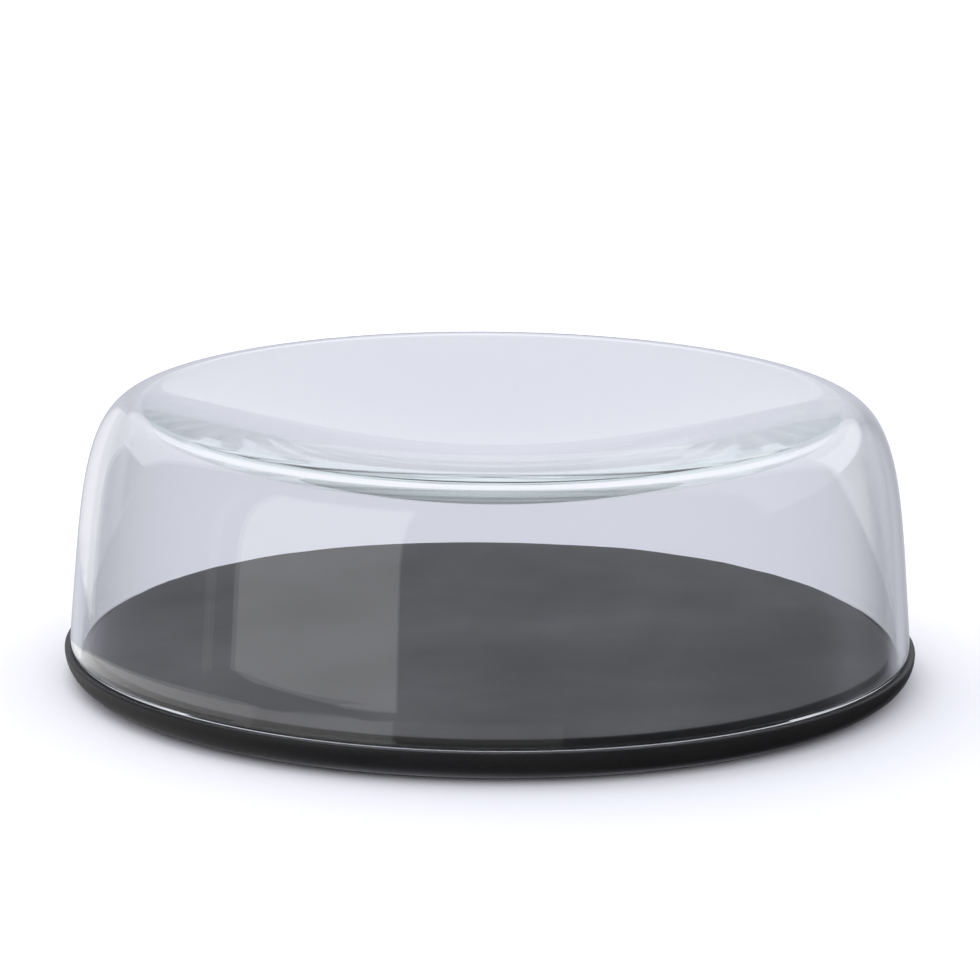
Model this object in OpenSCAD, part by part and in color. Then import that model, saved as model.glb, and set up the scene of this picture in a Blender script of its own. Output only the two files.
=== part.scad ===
// Cheese dome: a clear glass cover with a dished top, on a round serving base.
// Millimetres, +Z up. The origin is the centre of the base, on the table.

/* [Base plate] */
// Radius of the base at its widest
base_r = 150; // [145:0.5:160]
// Height of the seat that the dome stands on, above the table
seat_z = 11; // [11:0.1:14]
// Radius of the raised serving disc inside the dome
disc_r = 140.4; // [130:0.1:142]
// Height of the serving disc above the seat
disc_h = 2.5; // [1.5:0.1:5]
// Radius of the quarter round under the base's edge
under_round = 9.6; // [4:0.1:9.6]
// Radius of the small round between the seat and the base's edge
seat_round = 0.7; // [0.3:0.1:0.7]

/* [Non-slip pads] */
// Number of pads under the base
pad_count = 4; // [3:1:6]
// Radius of one pad
pad_r = 9; // [6:0.5:12]
// Radius of the circle that the pads stand on
pad_ring_r = 118; // [60:1:125]
// Depth of the pocket that holds a pad
pad_pocket = 1.6; // [1:0.1:3]
// How far a pad stands below the base
pad_stand = 0.6; // [0.4:0.1:0.6]

/* [Glass dome] */
// Outer radius of the dome's bottom edge
rim_r = 148.2; // [147.6:0.1:149.2]
// Height of the dome's crest above the table
dome_h = 97.5; // [90:0.5:120]
// Lean of the side wall from the vertical, in degrees
draft = 4.4; // [2:0.1:5]
// Height at which the side wall starts to curve into the shoulder
wall_top_z = 26; // [20:1:36]
// Radius of the crest, the ring where the dome is highest
crest_r = 123; // [117:0.5:124]
// Thickness of the side wall
wall_t = 4.2; // [3:0.1:5]
// Radius of the fire-polished bottom edge
edge_round = 1.2; // [0.5:0.1:1.4]

/* [Dished top] */
// Depth of the dish below the crest
dish_depth = 17; // [10:0.5:22]
// Thickness of the glass at the middle of the dish
dish_t = 12; // [6:0.5:14]

/* [Hidden] */

// Facets of the pads and their pockets
round_fn = 96;
// Facets of the wide turned shapes
turned_fn = 240;
// Steps along the shoulder, along the dish and round a small edge
shoulder_steps = 24;
dish_steps = 30;
edge_steps = 6;

// How strongly each end of the shoulder and of the dish keeps its own direction
shoulder_pull = 41;
crest_pull = 19.3;
lip_pull = 20;
floor_pull = 56;

// How the glass thickens across the dish: 1 is a straight cone, 2 is a full curve
thick_power = 1.5;

disc_z = seat_z + disc_h;
disc_round = 0.6;
wall_top_r = rim_r - (wall_top_z - seat_z) * tan(draft);
dish_z = dome_h - dish_depth;

function pad_name(i) = str("non_slip_pad_", i);

// Points of an arc round the point c, from angle a0 to angle a1
function arc(c, r, a0, a1, steps) =
    [for (i = [0:steps]) let (a = a0 + (a1 - a0) * i / steps) c + r * [cos(a), sin(a)]];

// A cubic curve, given by its four control points, and its direction
function curve(p, t) =
    pow(1 - t, 3) * p[0] + 3 * pow(1 - t, 2) * t * p[1]
    + 3 * (1 - t) * t * t * p[2] + pow(t, 3) * p[3];
function heading(p, t) =
    pow(1 - t, 2) * (p[1] - p[0]) + 2 * (1 - t) * t * (p[2] - p[1]) + t * t * (p[3] - p[2]);

// The point t along a curve, moved by depth into the glass, on the curve's left
function inset(p, t, depth) =
    let (h = heading(p, t))
    curve(p, t) + depth * [-h[1], h[0]] / norm(h);

// Outer shoulder, from the side wall up to the crest
shoulder = [
    [wall_top_r, wall_top_z],
    [wall_top_r, wall_top_z] + shoulder_pull * [-sin(draft), cos(draft)],
    [crest_r + crest_pull, dome_h],
    [crest_r, dome_h]
];

// Top of the dish, from the crest down to the middle
dish = [
    [crest_r, dome_h],
    [crest_r - lip_pull, dome_h],
    [floor_pull, dish_z],
    [0, dish_z]
];

// The glass thickens smoothly from the crest to the middle of the dish
function dish_glass(t) = wall_t + (dish_t - wall_t) * (1 - pow(curve(dish, t)[0] / crest_r, thick_power));

// Half section of the glass, drawn up the outside, in to the middle and back inside
module dome_section() {
    inner_rim_r = rim_r - wall_t;
    outside = concat(
        arc([rim_r - edge_round, seat_z + edge_round], edge_round, -90, 0, edge_steps),
        [for (i = [0:shoulder_steps]) curve(shoulder, i / shoulder_steps)],
        [for (i = [1:dish_steps]) curve(dish, i / dish_steps)]
    );
    inside = concat(
        [for (i = [dish_steps:-1:1]) inset(dish, i / dish_steps, dish_glass(i / dish_steps))],
        [for (i = [shoulder_steps:-1:0]) inset(shoulder, i / shoulder_steps, wall_t)],
        arc([inner_rim_r + edge_round, seat_z + edge_round], edge_round, 180, 270, edge_steps)
    );
    polygon(concat(outside, inside));
}

// Half section of the base: flat underside, quarter round, seat and raised disc
module base_section() {
    polygon(concat(
        [[0, pad_stand]],
        arc([base_r - under_round, pad_stand + under_round], under_round, -90, 0, 2 * edge_steps),
        arc([base_r - seat_round, seat_z - seat_round], seat_round, 0, 90, edge_steps),
        [[disc_r, seat_z]],
        arc([disc_r - disc_round, disc_z - disc_round], disc_round, 0, 90, edge_steps),
        [[0, disc_z]]
    ));
}

// Puts its children at pad i, on the diagonals of the base
module at_pad(i) {
    rotate(360 * (i - 0.5) / pad_count)
        translate([pad_ring_r, 0, 0])
            children();
}

// The serving base, with a pocket for each pad
module base_plate() {
    color([0.13, 0.125, 0.13])
        difference() {
            rotate_extrude($fn = turned_fn) base_section();
            for (i = [1:pad_count])
                at_pad(i) cylinder(r = pad_r, h = pad_stand + pad_pocket, $fn = round_fn);
        }
}

// The clear cover, one piece of glass
module glass_dome() {
    color([0.86, 0.89, 0.9, 0.35])
        rotate_extrude($fn = turned_fn) dome_section();
}

// A rubber disc with a softened lower edge, glued into its pocket
module non_slip_pad(i) {
    pad_round = 0.4;
    color([0.2, 0.2, 0.2])
        at_pad(i)
            rotate_extrude($fn = round_fn)
                polygon(concat(
                    [[0, 0]],
                    arc([pad_r - pad_round, pad_round], pad_round, -90, 0, edge_steps),
                    [[pad_r, pad_stand + pad_pocket], [0, pad_stand + pad_pocket]]
                ));
}

base_plate();
glass_dome();
for (i = [1:pad_count])
    non_slip_pad(i);
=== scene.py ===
"""Cheese dome: a clear glass cover with a dished top, standing on a dark matt serving base.

The two turned pieces are remade here on the outlines of the CAD part, in millimetres, with finer meshes.
Azimuth 0 is the camera's side, 90 the right, and 180 behind. Angles are in degrees unless a name says not.
"""

import math

import bpy
import numpy as np
from mathutils import Euler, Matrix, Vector


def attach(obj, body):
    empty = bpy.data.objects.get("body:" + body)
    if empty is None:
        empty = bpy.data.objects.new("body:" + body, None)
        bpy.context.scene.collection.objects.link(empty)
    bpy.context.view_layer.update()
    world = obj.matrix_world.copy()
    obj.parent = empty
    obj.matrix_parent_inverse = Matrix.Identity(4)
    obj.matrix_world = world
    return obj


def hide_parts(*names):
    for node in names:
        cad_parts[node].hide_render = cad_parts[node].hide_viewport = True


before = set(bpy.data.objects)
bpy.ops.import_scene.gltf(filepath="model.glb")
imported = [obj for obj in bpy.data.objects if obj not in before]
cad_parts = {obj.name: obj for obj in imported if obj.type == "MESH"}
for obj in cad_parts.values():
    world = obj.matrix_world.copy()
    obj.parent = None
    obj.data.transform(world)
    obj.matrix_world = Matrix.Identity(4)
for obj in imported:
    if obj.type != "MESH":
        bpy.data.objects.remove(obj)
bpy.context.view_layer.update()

MM = 0.001

# ---------------------------------------------------------------- the glass, as in the CAD part (mm)
RIM_R = 148.2
SEAT_Z = 11.0
DOME_H = 97.5
DRAFT = math.radians(4.4)
WALL_TOP_Z = 26.0
CREST_R = 123.0
WALL_T = 4.2
EDGE_ROUND = 1.2
DISH_DEPTH = 17.0
DISH_T = 12.0
THICK_POWER = 1.5
SHOULDER_PULL = 41.0
CREST_PULL = 19.3
LIP_PULL = 20.0
FLOOR_PULL = 56.0

# Heights of extra rings above the wall's edge, which keep the shading straight right down to it
EDGE_RINGS = (0.4, 1.2, 6.8)

# ---------------------------------------------------------------- the base, as in the CAD part (mm)
# A hair under the CAD radius, so that the visual model stays inside the CAD box
BASE_R = 149.95
UNDER_ROUND = 9.6
SEAT_ROUND = 0.7
DISC_R = 140.4
DISC_H = 2.5
DISC_ROUND = 0.6
PAD_STAND = 0.6

# Distances of extra rings from the ends of flat faces, for even shading and finer vertex detail
UNDER_RING = 6.0
SEAT_RING = 1.5
DISC_RING = 4.0
INNER_RING = 0.6 * DISC_R

# How finely outlines are stepped, and how many facets a turned shape has
SHOULDER_STEPS = 48
DISH_STEPS = 56
UNDER_STEPS = 24
EDGE_STEPS = 8
TURNS = 256


def arc(cx, cz, r, a0, a1, steps):
    """Points of an arc in the (radius, height) plane."""
    angles = np.radians(np.linspace(a0, a1, steps + 1))
    return np.stack([cx + r * np.cos(angles), cz + r * np.sin(angles)], -1)


def curve(p, steps):
    """A cubic curve through its four control points, and its unit normals on the left."""
    p = np.array(p, float)
    t = np.linspace(0, 1, steps + 1)[:, None]
    q = (1 - t) ** 3 * p[0] + 3 * (1 - t) ** 2 * t * p[1] + 3 * (1 - t) * t * t * p[2] + t**3 * p[3]
    d = (1 - t) ** 2 * (p[1] - p[0]) + 2 * (1 - t) * t * (p[2] - p[1]) + t * t * (p[3] - p[2])
    n = np.stack([-d[:, 1], d[:, 0]], -1) / np.linalg.norm(d, axis=1)[:, None]
    return q, n


def wall_radius(z):
    """Outer radius of the straight side wall at a height."""
    return RIM_R - (z - SEAT_Z) * math.tan(DRAFT)


def dome_profile():
    """Closed half section of the glass: up the outside, in to the middle and back inside."""
    wall_top = np.array([wall_radius(WALL_TOP_Z), WALL_TOP_Z])
    lean = SHOULDER_PULL * np.array([-math.sin(DRAFT), math.cos(DRAFT)])
    crest = (CREST_R, DOME_H)
    shoulder, shoulder_n = curve(
        [wall_top, wall_top + lean, (CREST_R + CREST_PULL, DOME_H), crest], SHOULDER_STEPS
    )
    dish_z = DOME_H - DISH_DEPTH
    dish, dish_n = curve([crest, (CREST_R - LIP_PULL, DOME_H), (FLOOR_PULL, dish_z), (0, dish_z)], DISH_STEPS)
    dish_glass = WALL_T + (DISH_T - WALL_T) * (1 - (dish[:, :1] / CREST_R) ** THICK_POWER)

    edge_z = SEAT_Z + EDGE_ROUND
    foot_r = wall_radius(edge_z)
    across = np.array([-WALL_T / math.cos(DRAFT), 0])
    wall = np.array([(wall_radius(edge_z + dz), edge_z + dz) for dz in EDGE_RINGS])
    outside = [
        arc(foot_r - EDGE_ROUND, edge_z, EDGE_ROUND, -90, 0, EDGE_STEPS),
        wall,
        shoulder,
        dish[1:],
    ]
    inside = [
        (dish + dish_glass * dish_n)[:0:-1],
        (shoulder + WALL_T * shoulder_n)[::-1],
        (wall + across)[::-1],
        arc(foot_r + across[0] + EDGE_ROUND, edge_z, EDGE_ROUND, 180, 270, EDGE_STEPS),
    ]
    return np.concatenate(outside + inside)


def base_profile():
    """Half section of the base: flat underside, quarter round, seat and raised disc."""
    disc_z = SEAT_Z + DISC_H
    under_r = BASE_R - UNDER_ROUND
    return np.concatenate([
        [(0, PAD_STAND), (under_r - UNDER_RING, PAD_STAND)],
        arc(under_r, PAD_STAND + UNDER_ROUND, UNDER_ROUND, -90, 0, UNDER_STEPS),
        arc(BASE_R - SEAT_ROUND, SEAT_Z - SEAT_ROUND, SEAT_ROUND, 0, 90, EDGE_STEPS),
        [(DISC_R + SEAT_RING, SEAT_Z), (DISC_R, SEAT_Z)],
        arc(DISC_R - DISC_ROUND, disc_z - DISC_ROUND, DISC_ROUND, 0, 90, EDGE_STEPS),
        [(DISC_R - DISC_RING, disc_z), (INNER_RING, disc_z), (0, disc_z)],
    ])


def mesh_object(name, verts, faces):
    """Makes a mesh object from its points and faces, and puts it in the scene."""
    mesh = bpy.data.meshes.new(name)
    mesh.from_pydata(verts, [], faces)
    mesh.update()
    obj = bpy.data.objects.new(name, mesh)
    bpy.context.scene.collection.objects.link(obj)
    return obj


def lathe(name, profile):
    """Turns a half section (mm) round the Z axis into a closed mesh. Points on the axis stay single."""
    verts, rows = [], []
    for r, z in profile:
        if r < 1e-6:
            rows.append([len(verts)] * TURNS)
            verts.append((0, 0, z * MM))
            continue
        rows.append(list(range(len(verts), len(verts) + TURNS)))
        for k in range(TURNS):
            a = 2 * math.pi * k / TURNS
            verts.append((r * MM * math.cos(a), r * MM * math.sin(a), z * MM))
    faces = []
    for low, high in zip(rows, rows[1:] + rows[:1]):
        for k in range(TURNS):
            n = (k + 1) % TURNS
            corners = [low[k], low[n], high[n], high[k]]
            face = list(dict.fromkeys(corners))
            if len(face) > 2:
                faces.append(face)
    obj = mesh_object(name, verts, faces)
    for polygon in obj.data.polygons:
        polygon.use_smooth = True
    return obj


# ---------------------------------------------------------------- camera
DISTANCE = 1.9
ELEVATION = math.radians(14.74)
LENS_MM = 197.0
SENSOR_MM = 36.0
ROLL = math.radians(0.55)
AIM = Vector((-0.0005, 0, 0.0653))
FAR_CLIP = 50.0

cam_data = bpy.data.cameras.new("camera")
cam_data.lens = LENS_MM
cam_data.sensor_width = SENSOR_MM
cam_data.clip_end = FAR_CLIP
cam = bpy.data.objects.new("camera", cam_data)
bpy.context.scene.collection.objects.link(cam)
cam.location = (0, -DISTANCE * math.cos(ELEVATION), DISTANCE * math.sin(ELEVATION))
look = (AIM - cam.location).to_track_quat("-Z", "Y")
cam.rotation_mode = "QUATERNION"
cam.rotation_quaternion = look @ Euler((0, 0, ROLL)).to_quaternion()
bpy.context.scene.camera = cam

# ---------------------------------------------------------------- materials
# Glass: noise scales in cycles per metre, and how strongly each one bends the surface
WAVE_SCALE = 9.0
WAVE_STRENGTH = 0.07
RING_SCALE = 60.0
RING_STRENGTH = 0.02
GLASS_BUMP_M = 0.001
GLASS_IOR = 1.5
GLASS_SHADOW = (0.9, 0.92, 0.93, 1)
GLASS_TINT = (0.56, 0.8, 0.76, 1)
TINT_DENSITY = 1.7

# Base: colours in the grain's hollows, on its tops and on worn edges
BASE_DARK = (0.0080, 0.0072, 0.0074, 1)
BASE_LIGHT = (0.0160, 0.0145, 0.0145, 1)
BASE_WORN = (0.040, 0.037, 0.037, 1)
PATCH_SCALE = 14
GRAIN_SCALE = 900
TURNING_SCALE = 420
BASE_BUMP_M = 0.0001

# Pads: colours of the rubber and of the dust in its low spots
RUBBER_DARK = (0.018, 0.018, 0.018, 1)
RUBBER_DUSTY = (0.05, 0.049, 0.047, 1)
PEBBLE_SCALE = 1400
DUST_SCALE = 260
PEBBLE_BUMP_M = 0.0002

# How fast the turned pattern drifts round the axis, against its change along the radius
TURNED_DRIFT = 0.03


def new_material(name):
    """An empty material, its nodes and links, and its output node."""
    mat = bpy.data.materials.new(name)
    mat.use_nodes = True
    nodes = mat.node_tree.nodes
    nodes.clear()
    return mat, nodes, mat.node_tree.links, nodes.new("ShaderNodeOutputMaterial")


def node(nodes, kind, **inputs):
    """Adds a node and sets its named inputs."""
    made = nodes.new(kind)
    for key, value in inputs.items():
        made.inputs[key.replace("_", " ")].default_value = value
    return made


def math_node(nodes, links, operation, *values):
    """A math node. Each value is a number or another node's output."""
    made = nodes.new("ShaderNodeMath")
    made.operation = operation
    for socket, value in zip(made.inputs, values):
        if isinstance(value, (int, float)):
            socket.default_value = value
        else:
            links.new(value, socket)
    return made.outputs[0]


def mix_colors(nodes, links, factor, a, b):
    """Blends two colours. Each one is four numbers or another node's output."""
    made = nodes.new("ShaderNodeMix")
    made.data_type = "RGBA"
    links.new(factor, made.inputs["Factor"])
    for key, color in (("A", a), ("B", b)):
        if isinstance(color, tuple):
            made.inputs[key].default_value = color
        else:
            links.new(color, made.inputs[key])
    return made.outputs["Result"]


def two_color_ramp(nodes, links, value, low, low_color, high, high_color):
    """Colours a value: one colour up to low, the other from high on."""
    made = nodes.new("ShaderNodeValToRGB")
    first, last = made.color_ramp.elements
    first.position = low
    first.color = low_color
    last.position = high
    last.color = high_color
    links.new(value, made.inputs[0])
    return made.outputs[0]


def noise(nodes, links, vector, scale, detail=4.0, roughness=0.55):
    """A noise texture at a scale given in cycles per metre."""
    made = node(nodes, "ShaderNodeTexNoise", Scale=scale, Detail=detail, Roughness=roughness)
    links.new(vector, made.inputs["Vector"])
    return made.outputs["Fac"]


def spread(nodes, links, value, low, high, start=0.3, end=0.7):
    """Maps a value from start..end onto low..high."""
    made = node(nodes, "ShaderNodeMapRange", From_Min=start, From_Max=end, To_Min=low, To_Max=high)
    links.new(value, made.inputs["Value"])
    return made.outputs["Result"]


def add_bump(nodes, links, height, strength, distance, previous=None):
    """A bumped normal from a height, on top of an earlier bumped normal if there is one."""
    made = node(nodes, "ShaderNodeBump", Strength=strength, Distance=distance)
    links.new(height, made.inputs["Height"])
    if previous:
        links.new(previous, made.inputs["Normal"])
    return made.outputs["Normal"]


def turned_coordinates(nodes, links):
    """Object coordinates, and ones that follow a turned surface: radius, height and a slow drift round it."""
    place = nodes.new("ShaderNodeTexCoord").outputs["Object"]
    split = nodes.new("ShaderNodeSeparateXYZ")
    links.new(place, split.inputs[0])
    flat = nodes.new("ShaderNodeCombineXYZ")
    links.new(split.outputs["X"], flat.inputs["X"])
    links.new(split.outputs["Y"], flat.inputs["Y"])
    radius = nodes.new("ShaderNodeVectorMath")
    radius.operation = "LENGTH"
    links.new(flat.outputs[0], radius.inputs[0])
    drift = nodes.new("ShaderNodeVectorMath")
    drift.operation = "SCALE"
    drift.inputs["Scale"].default_value = TURNED_DRIFT
    links.new(flat.outputs[0], drift.inputs[0])
    turned = nodes.new("ShaderNodeCombineXYZ")
    links.new(radius.outputs["Value"], turned.inputs["X"])
    links.new(split.outputs["Z"], turned.inputs["Y"])
    total = nodes.new("ShaderNodeVectorMath")
    links.new(turned.outputs[0], total.inputs[0])
    links.new(drift.outputs[0], total.inputs[1])
    return place, total.outputs[0]


def glass_material():
    """Clear pressed glass: a slow waviness, faint turning rings and a cool green tint in the depth."""
    mat, nodes, links, out = new_material("clear_glass")
    glass = node(nodes, "ShaderNodeBsdfPrincipled", Base_Color=(1, 1, 1, 1), Roughness=0.0, IOR=GLASS_IOR,
                 Transmission_Weight=1.0)
    place, turned = turned_coordinates(nodes, links)
    wave = add_bump(nodes, links, noise(nodes, links, place, WAVE_SCALE, 2.0), WAVE_STRENGTH, GLASS_BUMP_M)
    ring_noise = noise(nodes, links, turned, RING_SCALE, 2.0)
    links.new(add_bump(nodes, links, ring_noise, RING_STRENGTH, GLASS_BUMP_M, wave), glass.inputs["Normal"])
    # Light that reaches the base and the floor passes the glass without being bent
    clear = node(nodes, "ShaderNodeBsdfTransparent", Color=GLASS_SHADOW)
    mix = nodes.new("ShaderNodeMixShader")
    links.new(nodes.new("ShaderNodeLightPath").outputs["Is Shadow Ray"], mix.inputs["Fac"])
    links.new(glass.outputs[0], mix.inputs[1])
    links.new(clear.outputs[0], mix.inputs[2])
    links.new(mix.outputs[0], out.inputs["Surface"])
    tint = node(nodes, "ShaderNodeVolumeAbsorption", Color=GLASS_TINT, Density=TINT_DENSITY)
    links.new(tint.outputs[0], out.inputs["Volume"])
    return mat


def base_material():
    """Matt charcoal moulding: fine grain, faint turning rings, a few rubbed and dusty patches, worn edges."""
    mat, nodes, links, out = new_material("matt_charcoal")
    bsdf = node(nodes, "ShaderNodeBsdfPrincipled", Specular_IOR_Level=0.42)
    links.new(bsdf.outputs[0], out.inputs["Surface"])
    place, turned = turned_coordinates(nodes, links)
    patches = noise(nodes, links, place, PATCH_SCALE, 5.0)
    grain = noise(nodes, links, place, GRAIN_SCALE, 3.0)
    rings = noise(nodes, links, turned, TURNING_SCALE, 3.0)
    half_patches = math_node(nodes, links, "MULTIPLY", patches, 0.5)
    mottle = math_node(nodes, links, "MULTIPLY_ADD", grain, 0.5, half_patches)
    shade = two_color_ramp(nodes, links, mottle, 0.35, BASE_DARK, 0.7, BASE_LIGHT)
    pointiness = nodes.new("ShaderNodeNewGeometry").outputs["Pointiness"]
    edge = spread(nodes, links, pointiness, 0.0, 0.35, 0.52, 0.6)
    links.new(mix_colors(nodes, links, edge, shade, BASE_WORN), bsdf.inputs["Base Color"])
    links.new(spread(nodes, links, patches, 0.40, 0.54), bsdf.inputs["Roughness"])
    fine = add_bump(nodes, links, grain, 0.25, BASE_BUMP_M)
    links.new(add_bump(nodes, links, rings, 0.12, BASE_BUMP_M, fine), bsdf.inputs["Normal"])
    return mat


def rubber_material():
    """Soft black rubber with a pebbled skin and pale dust in its low spots."""
    mat, nodes, links, out = new_material("pad_rubber")
    bsdf = node(nodes, "ShaderNodeBsdfPrincipled", Specular_IOR_Level=0.3)
    links.new(bsdf.outputs[0], out.inputs["Surface"])
    place = nodes.new("ShaderNodeTexCoord").outputs["Object"]
    pebbles = node(nodes, "ShaderNodeTexVoronoi", Scale=PEBBLE_SCALE)
    links.new(place, pebbles.inputs["Vector"])
    dust = noise(nodes, links, place, DUST_SCALE, 4.0)
    shade = two_color_ramp(nodes, links, dust, 0.4, RUBBER_DARK, 0.75, RUBBER_DUSTY)
    links.new(shade, bsdf.inputs["Base Color"])
    links.new(spread(nodes, links, dust, 0.7, 0.9), bsdf.inputs["Roughness"])
    skin = add_bump(nodes, links, pebbles.outputs["Distance"], 0.5, PEBBLE_BUMP_M)
    links.new(skin, bsdf.inputs["Normal"])
    return mat


# ---------------------------------------------------------------- the pieces
# Edges of the base sharper than this angle aren't shaded smooth
BASE_SHARP_ANGLE = math.radians(35)

dome = lathe("dome_glass", dome_profile())
dome.data.materials.append(glass_material())
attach(dome, "dome")
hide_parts("glass_dome")

base = lathe("base_moulding", base_profile())
base.data.set_sharp_from_angle(angle=BASE_SHARP_ANGLE)
base.data.materials.append(base_material())
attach(base, "base")
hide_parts("base_plate")

rubber = rubber_material()
for name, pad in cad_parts.items():
    if name.startswith("non_slip_pad"):
        pad.data.materials.clear()
        pad.data.materials.append(rubber)

# ---------------------------------------------------------------- the studio
# Cards and the tent stand round this point
STUDIO_CENTRE = Vector((0, 0, 0.05))
TENT_RADIUS = 3.0
CARD_STEPS = 24
WHITE = (1, 1, 1)
COOL = (0.97, 0.98, 1.04)
SKY = (0.97, 0.98, 1.06)

# The tent's colour for light that passes straight through the glass, and for light guided far inside it
PALE = (0.75, 0.765, 0.86)
GUIDED = (0.60, 0.605, 0.67)

# The tent's brightness for light mirrored once or twice, by azimuth
ROOM = [(-180, 0.76), (-168, 0.56), (-158, 0.7), (-135, 0.4), (-127, 0.28), (-100, 0.16), (-60, 0.12),
        (60, 0.10), (100, 0.15), (112, 0.26), (125, 0.14), (134, 0.14), (141, 0.38), (152, 0.5),
        (160, 0.38), (170, 0.6), (180, 0.76)]

# Upper edge of the foot cards: its elevation at the front, its fall by azimuth 100, and how the fall grows
FOOT_FRONT_ELEVATION = -7.2
FOOT_FALL = 3.235
FOOT_FALL_POWER = 1.918

FLOOR_COLOR = (0.86, 0.86, 0.88, 1)
FLOOR_HALF = 8.0
WORLD_COLOR = (0.93, 0.93, 0.99, 1)
WORLD_STRENGTH = 1.2
KEY_TARGET = Vector((0, 0, 0.02))
GUIDED_BOUNCES = 96
CLEAR_BOUNCES = 16


def direction(azimuth, elevation):
    """Unit vector towards a place in the studio."""
    a = math.radians(azimuth)
    e = math.radians(elevation)
    return Vector((math.cos(e) * math.sin(a), -math.cos(e) * math.cos(a), math.sin(e)))


def reflected_only(obj):
    """The glass and the gloss see this object; the camera, the floor and the shadows don't."""
    obj.visible_camera = False
    obj.visible_diffuse = False
    obj.visible_shadow = False
    obj.visible_volume_scatter = False


def times_mirrored_over(nodes, links, limit):
    """1 for light that has been mirrored more often than the limit, else 0."""
    path = nodes.new("ShaderNodeLightPath")
    return math_node(nodes, links, "GREATER_THAN", path.outputs["Glossy Depth"], limit)


def card_material(name, color, strength, mirrored):
    """A glowing card. If it is for mirrored light only, light straight through the glass ignores it."""
    mat, nodes, links, out = new_material(name)
    emit = node(nodes, "ShaderNodeEmission", Color=(*color, 1), Strength=strength)
    if not mirrored:
        links.new(emit.outputs[0], out.inputs["Surface"])
        return mat
    mix = nodes.new("ShaderNodeMixShader")
    links.new(times_mirrored_over(nodes, links, 0.5), mix.inputs["Fac"])
    links.new(nodes.new("ShaderNodeBsdfTransparent").outputs[0], mix.inputs[1])
    links.new(emit.outputs[0], mix.inputs[2])
    links.new(mix.outputs[0], out.inputs["Surface"])
    return mat


def card(name, azimuths, lower, upper, distance, strength, color=WHITE, mirrored=True):
    """A curved card round the object, between two azimuths.

    lower and upper are its edges' elevations at its two ends, or a function of the azimuth. A mirrored
    card is seen only by light that has been mirrored, so it doesn't darken or tint what is behind the glass.
    """
    verts = []
    for t in np.linspace(0, 1, CARD_STEPS + 1):
        azimuth = azimuths[0] + (azimuths[1] - azimuths[0]) * t
        for edge in (lower, upper):
            elevation = edge(azimuth) if callable(edge) else edge[0] + (edge[1] - edge[0]) * t
            verts.append(STUDIO_CENTRE + direction(azimuth, elevation) * distance)
    faces = [(2 * i, 2 * i + 1, 2 * i + 3, 2 * i + 2) for i in range(CARD_STEPS)]
    obj = mesh_object(name, verts, faces)
    obj.data.materials.append(card_material(name, color, strength, mirrored))
    reflected_only(obj)


def foot_edge(azimuth):
    """Elevation below which only the lowest few millimetres of the wall mirror the studio to the camera."""
    return FOOT_FRONT_ELEVATION - FOOT_FALL * (abs(azimuth) / 100) ** FOOT_FALL_POWER


def studio_azimuth(nodes, links):
    """How far round the studio a place on the tent is: 0 to 1 for azimuth -180 to 180."""
    split = nodes.new("ShaderNodeSeparateXYZ")
    links.new(nodes.new("ShaderNodeTexCoord").outputs["Object"], split.inputs[0])
    towards_front = math_node(nodes, links, "MULTIPLY", split.outputs["Y"], -1)
    angle = math_node(nodes, links, "ARCTAN2", split.outputs["X"], towards_front)
    return spread(nodes, links, angle, 0, 1, -math.pi, math.pi)


def studio_tent():
    """A big ball round the studio that only the glass and the gloss see.

    Light that passes straight through the glass, or is guided a long way inside it, meets a pale grey
    studio. Light mirrored once or twice meets the darker room on the camera's side and on the right.
    """
    bpy.ops.mesh.primitive_uv_sphere_add(
        segments=48, ring_count=24, radius=TENT_RADIUS, location=STUDIO_CENTRE
    )
    tent = bpy.context.object
    tent.name = "studio_tent"
    mat, nodes, links, out = new_material("studio_tent")
    emit = node(nodes, "ShaderNodeEmission", Strength=1)
    links.new(emit.outputs[0], out.inputs["Surface"])
    room = nodes.new("ShaderNodeValToRGB")
    elements = room.color_ramp.elements
    while len(elements) < len(ROOM):
        elements.new(0.5)
    for element, (azimuth, level) in zip(elements, ROOM):
        element.position = (azimuth + 180) / 360
        element.color = (level * PALE[0] / PALE[1], level, level * PALE[2] / PALE[1], 1)
    links.new(studio_azimuth(nodes, links), room.inputs[0])
    once = times_mirrored_over(nodes, links, 0.5)
    often = times_mirrored_over(nodes, links, 2.5)
    seen = mix_colors(nodes, links, once, (*PALE, 1), room.outputs[0])
    links.new(mix_colors(nodes, links, often, seen, (*GUIDED, 1)), emit.inputs["Color"])
    tent.data.materials.append(mat)
    reflected_only(tent)


def softbox(name, azimuth, elevation, distance, size, power):
    """A square light aimed at the object, which lights it and the floor but isn't mirrored itself."""
    data = bpy.data.lights.new(name, "AREA")
    data.shape = "RECTANGLE"
    data.size = size
    data.size_y = size
    data.energy = power
    obj = bpy.data.objects.new(name, data)
    obj.location = direction(azimuth, elevation) * distance
    obj.rotation_mode = "QUATERNION"
    obj.rotation_quaternion = (KEY_TARGET - obj.location).to_track_quat("-Z", "Y")
    obj.visible_camera = False
    obj.visible_glossy = False
    obj.visible_transmission = False
    bpy.context.scene.collection.objects.link(obj)


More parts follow.
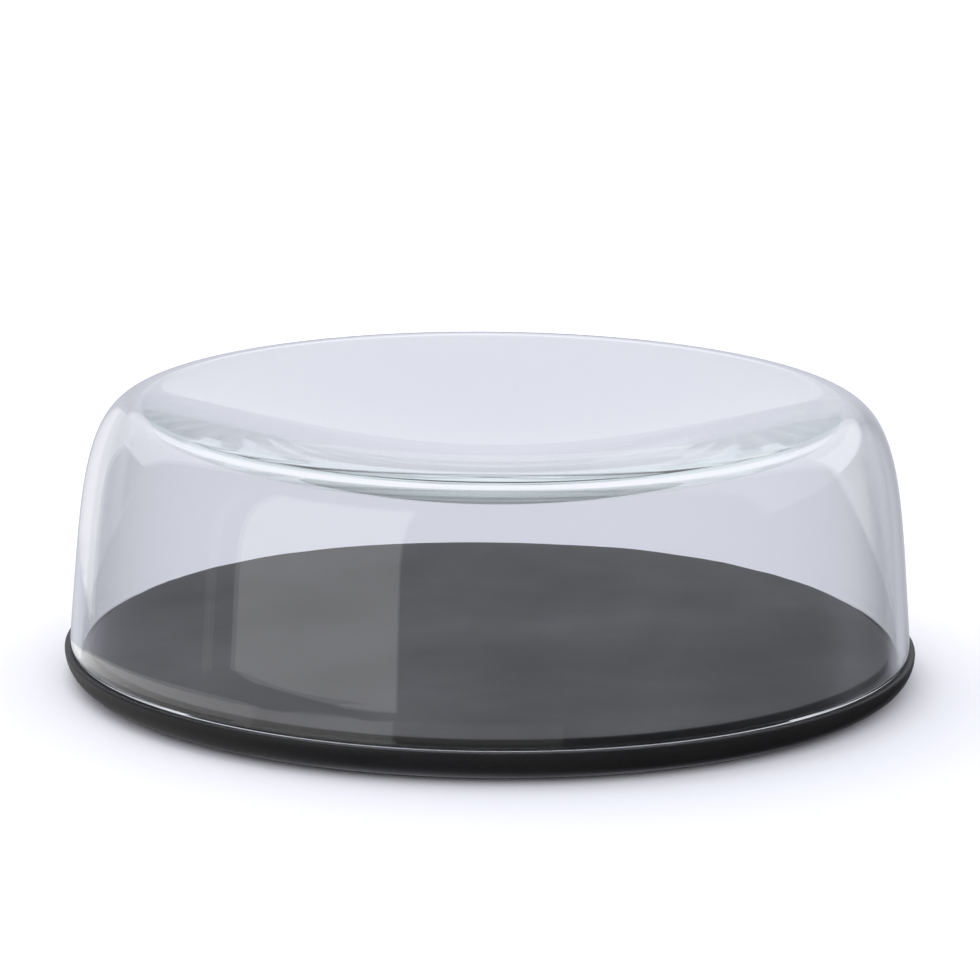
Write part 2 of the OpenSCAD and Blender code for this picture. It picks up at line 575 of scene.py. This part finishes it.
def floor_plane():
    """A wide pale floor. The tent stands in for it in the glass."""
    h = FLOOR_HALF
    obj = mesh_object("floor", [(-h, -h, 0), (h, -h, 0), (h, h, 0), (-h, h, 0)], [(0, 1, 2, 3)])
    mat, nodes, links, out = new_material("floor")
    matt = node(nodes, "ShaderNodeBsdfDiffuse", Color=FLOOR_COLOR)
    links.new(matt.outputs[0], out.inputs["Surface"])
    obj.data.materials.append(mat)
    obj.visible_glossy = False
    obj.visible_transmission = False


floor_plane()
studio_tent()
# The milky panel at the front left, and the thin strip beside it
card("front_left_card", (-69.1, -23.2), (-8.0, -7.2), (38, 42), distance=1.2, strength=1.0)
card("front_left_strip", (-78.7, -76.8), (-8.6, -8.6), (32, 32), distance=1.2, strength=0.45)
# A light foot, as from a white table, dimmer towards the front
card("left_foot_card", (-160, -62), (-20, -20), foot_edge, distance=1.2, strength=1.0)
card("front_left_foot_card", (-62, -24), (-20, -20), foot_edge, distance=1.2, strength=0.7)
card("front_foot_card", (-24, 18.4), (-20, -20), foot_edge, distance=1.2, strength=0.28)
# The bright left edge, the dish and both shoulders
card("left_back_card", (-160, -135), (-12, -12), (20, 20), distance=1.4, strength=0.86, color=COOL,
     mirrored=False)
card("overhead_back_card", (120, 240), (15, 15), (75, 75), distance=2.0, strength=0.97, color=SKY,
     mirrored=False)
card("right_shoulder_card", (82, 120), (14, 14), (75, 75), distance=2.0, strength=0.5, color=SKY)
# The base's rounded edge: lit on the left, dark at the front and on the right
card("left_low_card", (-160, -75), (-60, -60), (-17, -17), distance=1.5, strength=0.42)
card("right_low_flag", (0, 150), (-85, -85), (-14, -14), distance=1.5, strength=0.03)
softbox("key", azimuth=215, elevation=55, distance=2.0, size=1.4, power=12)

world = bpy.data.worlds.new("studio")
bpy.context.scene.world = world
world.use_nodes = True
background = world.node_tree.nodes["Background"]
background.inputs["Color"].default_value = WORLD_COLOR
background.inputs["Strength"].default_value = WORLD_STRENGTH

scene = bpy.context.scene
scene.view_settings.view_transform = "Standard"
scene.cycles.max_bounces = GUIDED_BOUNCES
scene.cycles.transmission_bounces = GUIDED_BOUNCES
scene.cycles.glossy_bounces = GUIDED_BOUNCES
scene.cycles.transparent_max_bounces = CLEAR_BOUNCES
scene.cycles.use_denoising = True
